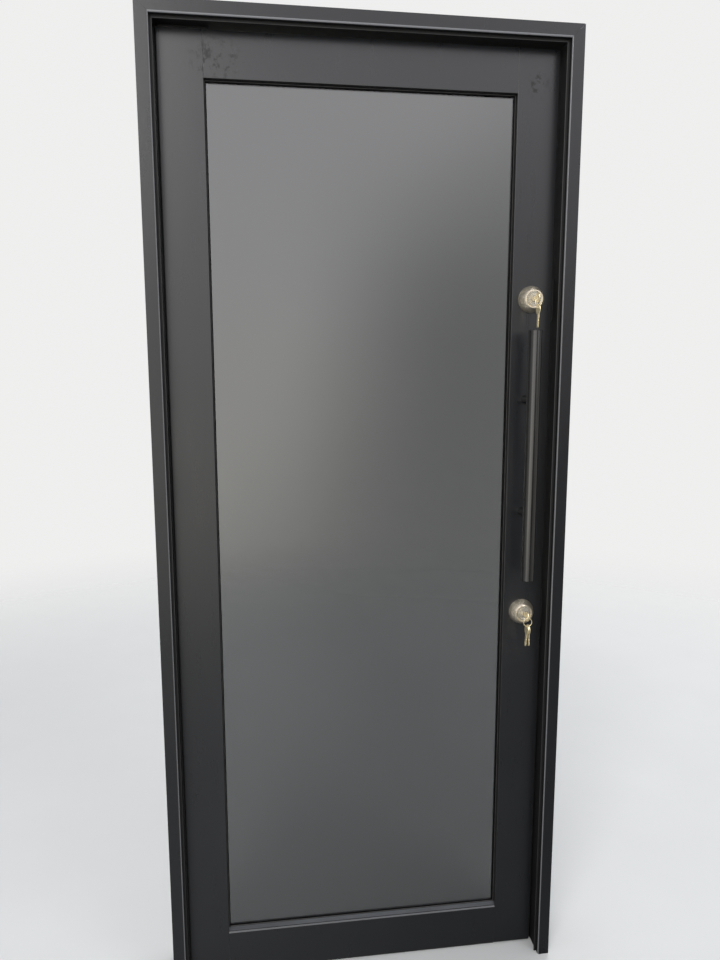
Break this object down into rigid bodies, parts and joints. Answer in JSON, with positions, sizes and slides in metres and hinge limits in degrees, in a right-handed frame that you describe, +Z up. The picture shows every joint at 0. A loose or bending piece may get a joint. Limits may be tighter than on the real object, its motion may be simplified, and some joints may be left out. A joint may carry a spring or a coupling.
{
  "type": "glazed swing door with frame",
  "caption": "Charcoal aluminium swing door with a tall glass pane, round pull handles and keyed deadlocks, centre pivoted in its own slim frame.",
  "frame": {"origin": "on the floor, at the frame's mid width and the leaf's mid thickness", "axes": "+X from the hinge side to the lock side, +Y from outside to inside, +Z up"},
  "size_m": [0.974, 0.187, 2.301],
  "materials": {
    "frame_paint": "fine textured powder coat, satin",
    "leaf_paint": "fine textured powder coat, satin, smudged",
    "handle_paint": "smooth satin black coat",
    "glass": "clear tempered pane, lightly tinted",
    "gasket": "matte black rubber",
    "nickel": "turned satin nickel",
    "cylinder_metal": "turned satin nickel with rings",
    "key_metal": "nickel silver, worn",
    "zinc_steel": "zinc plated steel",
    "pin_steel": "ground steel",
    "bare_aluminium": "mill finish",
    "plastic": "moulded nylon",
    "pile": "woven pile",
    "screw_steel": "blackened steel",
    "black_steel": "black coated steel"
  },
  "bodies": {
    "frame": {"hinge_jamb": "frame_paint", "lock_jamb": "frame_paint", "frame_head": "frame_paint", "corner_cleats": "bare_aluminium", "frame_screws": "screw_steel", "floor_pivot_bracket": "zinc_steel", "floor_pivot_pin": "pin_steel", "thrust_washer": "plastic", "top_pivot_plate": "black_steel", "top_pivot_block": "bare_aluminium", "top_pivot_pin": "pin_steel", "strike_plates": "black_steel", "dust_boxes": "plastic"},
    "leaf": {"hinge_stile": "leaf_paint", "lock_stile": "leaf_paint", "top_rail": "leaf_paint", "bottom_rail": "leaf_paint", "shear_blocks": "bare_aluminium", "tie_rods": "zinc_steel", "tie_rod_nuts": "zinc_steel", "glass": "glass", "outer_gasket": "gasket", "inner_gasket": "gasket", "inner_beads": "leaf_paint", "sill_bead": "leaf_paint", "glazing_blocks": "plastic", "edge_seals": "pile", "bottom_brush": "pile", "stile_end_caps": "plastic", "bottom_pivot_socket": "bare_aluminium", "top_pivot_socket": "bare_aluminium", "pivot_bushes": "plastic", "outer_handle": "handle_paint", "inner_handle": "handle_paint", "handle_posts": "handle_paint", "handle_bolts": "zinc_steel", "handle_sleeves": "bare_aluminium", "leaf_screws": "screw_steel", "upper_rose": "nickel", "upper_cylinder": "cylinder_metal", "upper_case": "zinc_steel", "upper_inner_rose": "nickel", "lower_rose": "nickel", "lower_cylinder": "cylinder_metal", "lower_case": "zinc_steel", "lower_inner_rose": "nickel"},
    "upper_turn": {"upper_plug": "cylinder_metal", "upper_key": "key_metal", "upper_tailpiece": "zinc_steel", "upper_cam": "zinc_steel", "upper_thumbturn": "nickel"},
    "upper_bolt_body": {"upper_bolt": "pin_steel"},
    "upper_keys": {"upper_key_ring": "key_metal"},
    "lower_turn": {"lower_plug": "cylinder_metal", "lower_key": "key_metal", "lower_tailpiece": "zinc_steel", "lower_cam": "zinc_steel", "lower_thumbturn": "nickel"},
    "lower_bolt_body": {"lower_bolt": "pin_steel"},
    "lower_keys": {"lower_key_ring": "key_metal"}
  },
  "joints": [
    {"name": "door_swing", "type": "hinge", "parent": "frame", "child": "leaf", "pos_m": [-0.395, 0, 0.05], "axis": [0, 0, 1], "range_deg": [-90, 90]},
    {"name": "upper_key_turn", "type": "hinge", "parent": "leaf", "child": "upper_turn", "pos_m": [0.399, 0, 1.708], "axis": [0, 1, 0], "range_deg": [0, 90]},
    {"name": "upper_bolt_slide", "type": "slide", "parent": "leaf", "child": "upper_bolt_body", "axis": [1, 0, 0], "range_m": [0, 0.025]},
    {"name": "upper_keys_hang", "type": "hinge", "parent": "upper_turn", "child": "upper_keys", "pos_m": [0.399, -0.073, 1.70105], "axis": [0, 1, 0], "range_deg": [-90, 0]},
    {"name": "lower_key_turn", "type": "hinge", "parent": "leaf", "child": "lower_turn", "pos_m": [0.399, 0, 0.9375], "axis": [0, 1, 0], "range_deg": [0, 90]},
    {"name": "lower_bolt_slide", "type": "slide", "parent": "leaf", "child": "lower_bolt_body", "axis": [1, 0, 0], "range_m": [0, 0.025]},
    {"name": "lower_keys_hang", "type": "hinge", "parent": "lower_turn", "child": "lower_keys", "pos_m": [0.399, -0.073, 0.93055], "axis": [0, 1, 0], "range_deg": [-90, 0]}
  ],
  "couplings": [
    {"joint": "upper_bolt_slide", "follows": "upper_key_turn", "m_per_rad": 0.015915},
    {"joint": "upper_keys_hang", "follows": "upper_key_turn", "ratio": -1},
    {"joint": "lower_bolt_slide", "follows": "lower_key_turn", "m_per_rad": 0.015915},
    {"joint": "lower_keys_hang", "follows": "lower_key_turn", "ratio": -1}
  ]
}
